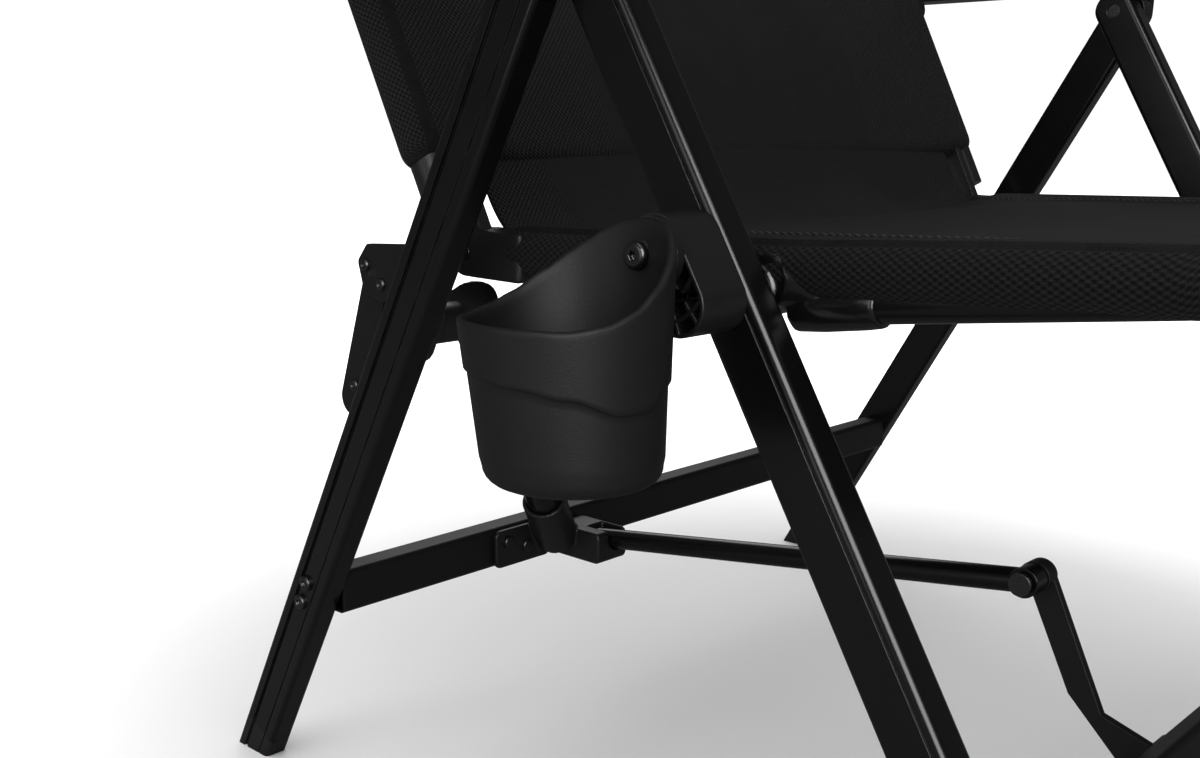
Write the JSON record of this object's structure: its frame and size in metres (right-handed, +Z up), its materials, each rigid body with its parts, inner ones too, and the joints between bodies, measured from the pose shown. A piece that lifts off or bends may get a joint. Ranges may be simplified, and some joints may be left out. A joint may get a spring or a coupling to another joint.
{
  "type": "folding beach chair",
  "caption": "Folding beach armchair with A-frame legs, mesh seat and reclined mesh back, flat armrests, a diagonal brace with a stay, and a cup holder on one hub.",
  "frame": {"origin": "on the floor, halfway between the arms and straight under the top pivot of the A-frames", "axes": "+X across the chair towards the side without the cup holder, -Y towards the front of the chair, +Z up"},
  "size_m": [0.7829, 0.7236, 0.9252],
  "materials": {
    "leg_aluminium": "satin black powder coat on an extruded profile",
    "frame_tube": "satin black powder coat on round tube",
    "flat_bar": "satin black powder coat on flat bar and plate",
    "moulded_plastic": "fine-grained black moulding",
    "gloss_moulding": "glossy black moulding",
    "cup_plastic": "matt charcoal moulding",
    "armrest_plastic": "grained black moulding",
    "black_fasteners": "blackened steel",
    "mesh_fabric": "black coated mesh with smooth sewn centre panels"
  },
  "bodies": {
    "front_legs": {"front_leg_left": "leg_aluminium", "front_leg_right": "leg_aluminium", "front_feet": "moulded_plastic", "front_crossbar": "flat_bar", "front_crossbar_screws": "black_fasteners", "apex_bolts": "black_fasteners", "apex_washers": "moulded_plastic", "hub_left": "moulded_plastic", "hub_right": "moulded_plastic", "seat_pivot_pins": "black_fasteners", "stay_post": "flat_bar", "stay_pin": "black_fasteners", "cup_disc": "moulded_plastic", "cup_bolt": "black_fasteners"},
    "rear_legs": {"rear_leg_left": "leg_aluminium", "rear_leg_right": "leg_aluminium", "rear_feet": "moulded_plastic", "rear_crossbar": "flat_bar", "rear_crossbar_screws": "black_fasteners", "diagonal_brace": "frame_tube", "brace_clip": "moulded_plastic", "brace_clip_screws": "black_fasteners", "brace_top_joint": "moulded_plastic", "latch_bracket_left": "flat_bar", "latch_bracket_right": "flat_bar", "latch_rivets": "black_fasteners"},
    "seat": {"seat_front_tube": "frame_tube", "seat_rear_rail_left": "frame_tube", "seat_rear_rail_right": "frame_tube", "seat_connector_left": "gloss_moulding", "seat_connector_right": "gloss_moulding", "back_fork_left": "moulded_plastic", "back_fork_right": "moulded_plastic", "back_pivot_pins": "black_fasteners", "seat_cross_tube": "frame_tube", "seat_pad": "mesh_fabric"},
    "back": {"back_frame": "frame_tube", "back_joint_left": "moulded_plastic", "back_joint_right": "moulded_plastic", "back_arm_brackets": "moulded_plastic", "back_panel": "mesh_fabric"},
    "arm_left": {"arm_bar_left": "flat_bar", "armrest_left": "armrest_plastic", "arm_rear_pin_left": "black_fasteners"},
    "arm_right": {"arm_bar_right": "flat_bar", "armrest_right": "armrest_plastic", "arm_rear_pin_right": "black_fasteners"},
    "stay": {"stay_tube": "frame_tube"},
    "lever_left": {"latch_lever_left": "flat_bar"},
    "lever_right": {"latch_lever_right": "flat_bar"},
    "cup": {"cup_holder": "cup_plastic"}
  },
  "joints": [
    {"name": "frame_fold", "type": "hinge", "parent": "front_legs", "child": "rear_legs", "pos_m": [0, 0, 0.503], "axis": [1, 0, 0], "range_deg": [-48, 0]},
    {"name": "seat_fold", "type": "hinge", "parent": "front_legs", "child": "seat", "pos_m": [0, -0.09543, 0.343], "axis": [1, 0, 0], "range_deg": [0, 57.6]},
    {"name": "back_fold", "type": "hinge", "parent": "seat", "child": "back", "pos_m": [0, 0.1, 0.347], "axis": [1, 0, 0], "range_deg": [-57.6, 0]},
    {"name": "arm_left_fold", "type": "hinge", "parent": "front_legs", "child": "arm_left", "pos_m": [-0.33, 0, 0.503], "axis": [1, 0, 0], "range_deg": [0, 57.6]},
    {"name": "arm_right_fold", "type": "hinge", "parent": "front_legs", "child": "arm_right", "pos_m": [0.33, 0, 0.503], "axis": [1, 0, 0], "range_deg": [0, 57.6]},
    {"name": "stay_fold", "type": "hinge", "parent": "front_legs", "child": "stay", "pos_m": [-0.114, -0.158, 0.176], "axis": [1, 0, 0], "range_deg": [0, 56.1]},
    {"name": "lever_left_turn", "type": "hinge", "parent": "rear_legs", "child": "lever_left", "pos_m": [-0.309, 0.15, 0.334], "axis": [1, 0, 0], "range_deg": [0, 35]},
    {"name": "lever_right_turn", "type": "hinge", "parent": "rear_legs", "child": "lever_right", "pos_m": [0.309, 0.15, 0.334], "axis": [1, 0, 0], "range_deg": [0, 35]},
    {"name": "cup_swivel", "type": "hinge", "parent": "front_legs", "child": "cup", "pos_m": [-0.36, -0.0841, 0.362], "axis": [1, 0, 0], "range_deg": [-20, 20]}
  ],
  "couplings": [
    {"joint": "seat_fold", "follows": "frame_fold", "ratio": -1.1979},
    {"joint": "back_fold", "follows": "frame_fold", "ratio": 1.1979},
    {"joint": "arm_left_fold", "follows": "frame_fold", "ratio": -1.1979},
    {"joint": "arm_right_fold", "follows": "frame_fold", "ratio": -1.1979},
    {"joint": "stay_fold", "follows": "frame_fold", "ratio": -1.1667}
  ]
}
